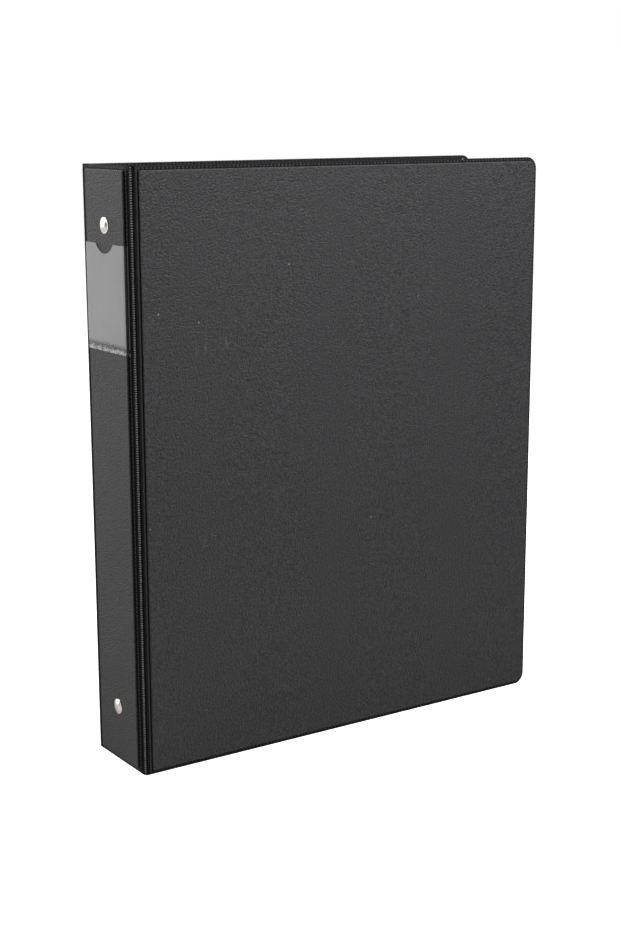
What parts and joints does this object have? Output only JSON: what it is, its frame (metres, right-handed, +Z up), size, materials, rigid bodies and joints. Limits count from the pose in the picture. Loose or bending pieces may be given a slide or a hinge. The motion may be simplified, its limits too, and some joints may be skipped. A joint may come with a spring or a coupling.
{
  "type": "ring binder",
  "caption": "Upright ring binder: two hinged vinyl covers, a spine with a clear label pocket, and a riveted ring mechanism with opening levers.",
  "frame": {"origin": "on the supporting surface, under the middle of the overall box", "axes": "+Z up along the spine, spine at -X, free cover edges at +X, front cover at -Y, back cover at +Y"},
  "size_m": [0.2432, 0.057, 0.2921],
  "materials": {
    "chipboard": "grey-brown chipboard, sealed inside the vinyl",
    "black_vinyl": "fine matt grain",
    "lining_vinyl": "fine matt grain, a little smoother than outside",
    "hinge_vinyl": "heat-sealed ribs, satin",
    "pocket_vinyl": "smooth satin film",
    "clear_film": "clear glossy film",
    "nickel_plate": "nickel plated steel",
    "blade_steel": "plated steel strip",
    "ring_wire": "nickel plated wire"
  },
  "bodies": {
    "spine": {"spine_board": "chipboard", "spine_outer_skin": "black_vinyl", "spine_inner_skin": "lining_vinyl", "label_holder": "clear_film", "front_hinge_strip": "hinge_vinyl", "back_hinge_strip": "hinge_vinyl", "housing": "nickel_plate", "top_rivet": "nickel_plate", "bottom_rivet": "nickel_plate", "top_post": "nickel_plate", "bottom_post": "nickel_plate"},
    "front_cover": {"front_board": "chipboard", "front_outer_skin": "black_vinyl", "front_inner_skin": "lining_vinyl", "front_pocket": "pocket_vinyl"},
    "back_cover": {"back_board": "chipboard", "back_outer_skin": "black_vinyl", "back_inner_skin": "lining_vinyl", "back_pocket": "pocket_vinyl"},
    "front_ring_set": {"front_blade": "blade_steel", "front_half_ring_top": "ring_wire", "front_half_ring_middle": "ring_wire", "front_half_ring_bottom": "ring_wire"},
    "back_ring_set": {"back_blade": "blade_steel", "back_half_ring_top": "ring_wire", "back_half_ring_middle": "ring_wire", "back_half_ring_bottom": "ring_wire"},
    "top_opening_lever": {"top_lever": "nickel_plate"},
    "bottom_opening_lever": {"bottom_lever": "nickel_plate"}
  },
  "joints": [
    {"name": "front_cover_hinge", "type": "hinge", "parent": "spine", "child": "front_cover", "pos_m": [-0.11884, -0.02375, 0], "axis": [0, 0, -1], "range_deg": [-4, 178], "deforming": ["front_hinge_strip"]},
    {"name": "back_cover_hinge", "type": "hinge", "parent": "spine", "child": "back_cover", "pos_m": [-0.11884, 0.02375, 0], "axis": [0, 0, 1], "range_deg": [-4, 178], "deforming": ["back_hinge_strip"]},
    {"name": "ring_opening", "type": "hinge", "parent": "spine", "child": "front_ring_set", "pos_m": [-0.11474, -0.00855, 0.14665], "axis": [0, 0, -1], "range_deg": [0, 16]},
    {"name": "back_ring_opening", "type": "hinge", "parent": "spine", "child": "back_ring_set", "pos_m": [-0.11474, 0.00855, 0.14665], "axis": [0, 0, 1], "range_deg": [0, 16]},
    {"name": "top_lever_press", "type": "hinge", "parent": "spine", "child": "top_opening_lever", "pos_m": [-0.11574, 0, 0.27515], "axis": [0, -1, 0], "range_deg": [0, 21.6]},
    {"name": "bottom_lever_press", "type": "hinge", "parent": "spine", "child": "bottom_opening_lever", "pos_m": [-0.11574, 0, 0.01815], "axis": [0, 1, 0], "range_deg": [0, 21.6]}
  ],
  "couplings": [
    {"joint": "back_ring_opening", "follows": "ring_opening", "ratio": 1},
    {"joint": "top_lever_press", "follows": "ring_opening", "ratio": 1.35},
    {"joint": "bottom_lever_press", "follows": "ring_opening", "ratio": 1.35}
  ]
}
